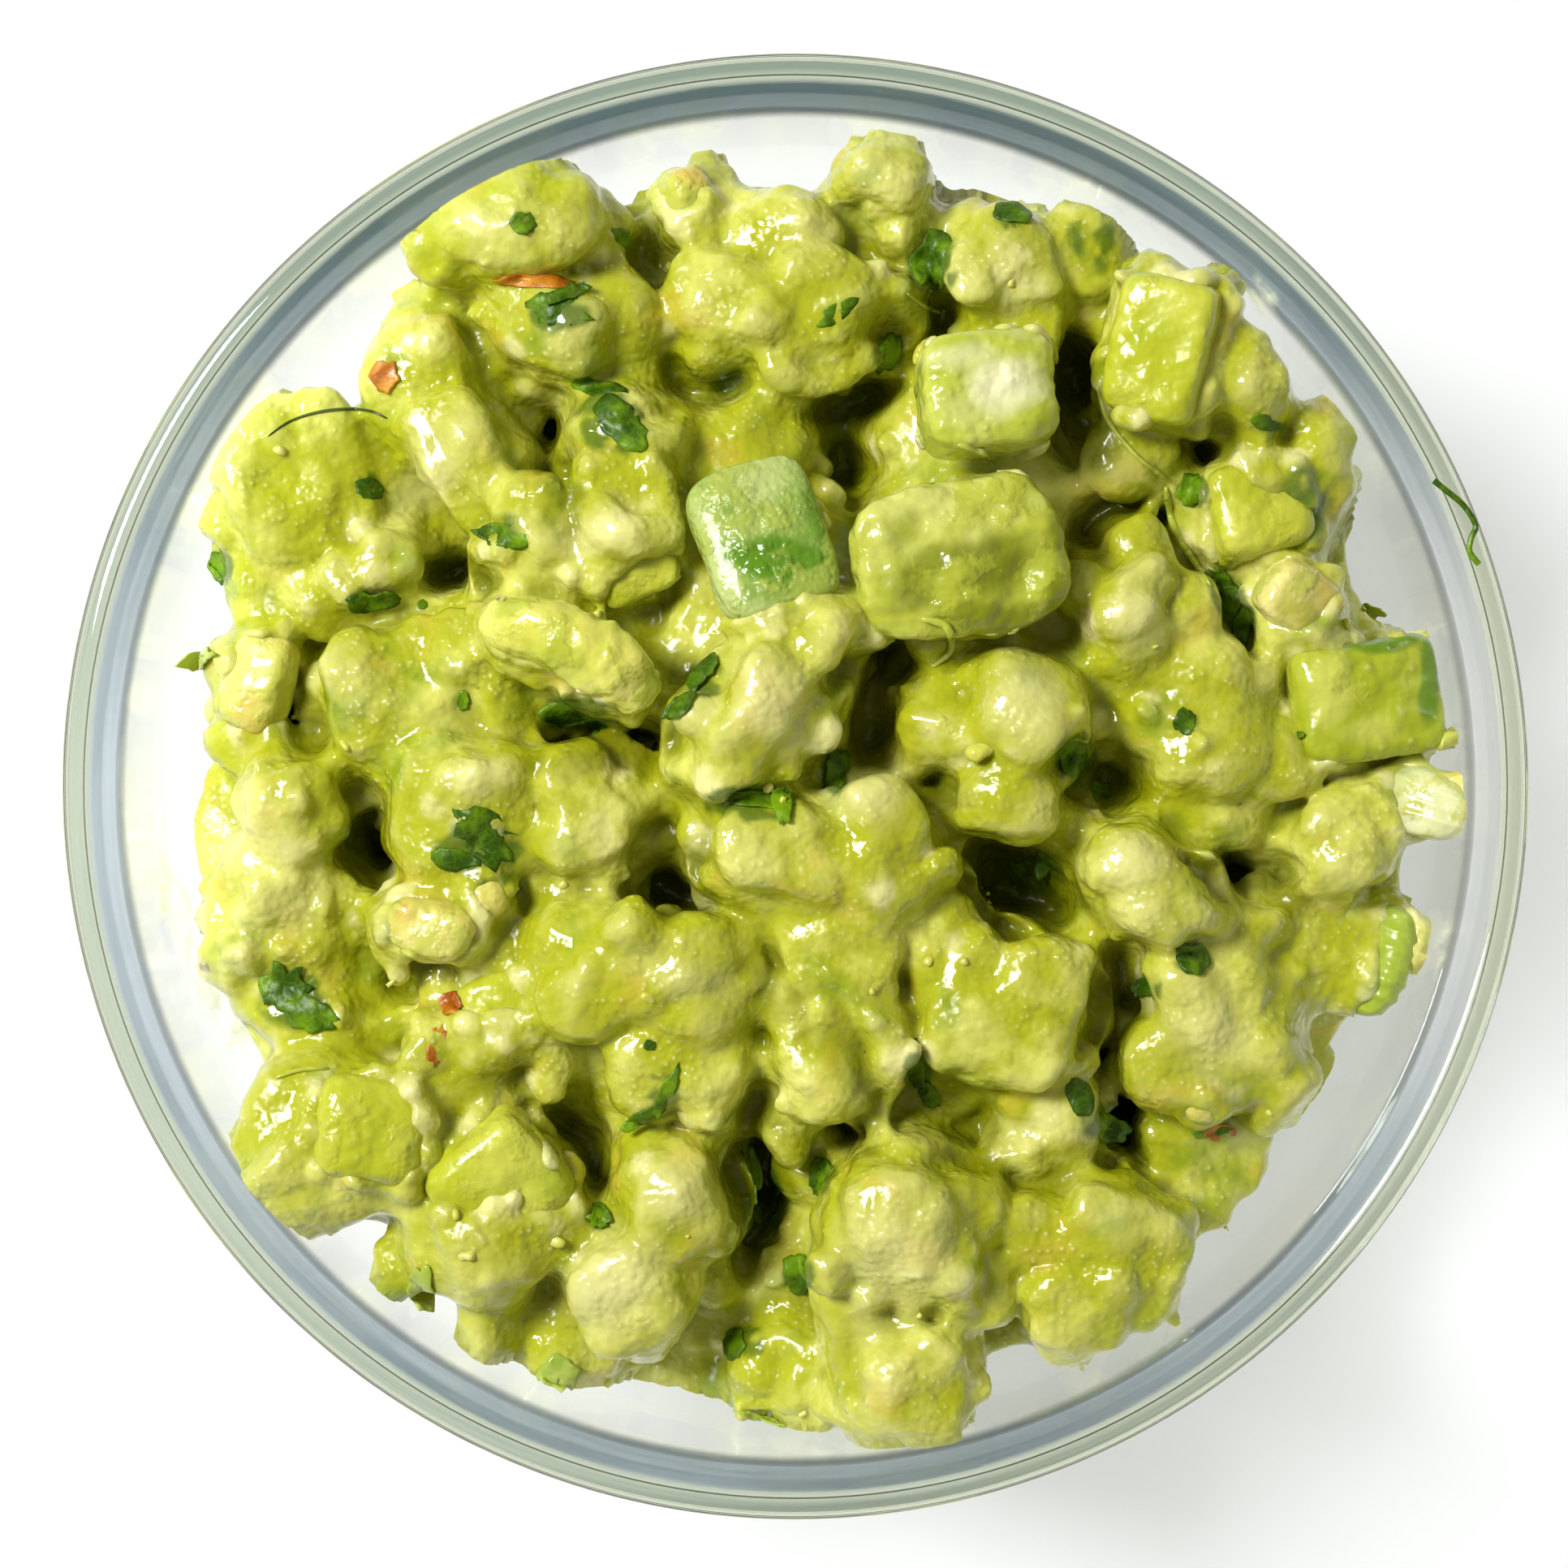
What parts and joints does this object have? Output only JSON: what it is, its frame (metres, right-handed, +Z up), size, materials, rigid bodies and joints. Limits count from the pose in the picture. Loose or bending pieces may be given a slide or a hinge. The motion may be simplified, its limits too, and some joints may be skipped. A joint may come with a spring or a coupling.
{
  "type": "guacamole in a glass bowl",
  "caption": "Small round clear glass bowl filled with a heap of chunky guacamole, with diced onion, green pepper and chopped herb in it.",
  "frame": {"origin": "middle of the bowl's resting face", "axes": "+Z up through the bowl's mouth, +X to the right and +Y to the top of the picture"},
  "size_m": [0.12, 0.12, 0.0508],
  "materials": {
    "clear_glass": "smooth clear pressed glass",
    "guacamole": "wet, lumpy yellow-green mash",
    "green_pepper": "wet green flesh with pale cut faces",
    "onion": "wet, translucent, coated with mash",
    "avocado": "soft wet flesh",
    "leaf": "wet, ribbed, bright green",
    "herb": "thin dark green herb"
  },
  "bodies": {
    "root": {"bowl": "clear_glass", "guacamole": "guacamole", "pepper_piece": "green_pepper", "onion_cube": "onion", "onion_slab": "onion", "green_block": "avocado", "onion_edge_piece": "onion", "leaf_segment": "leaf", "herb_wisp": "herb"}
  },
  "joints": []
}
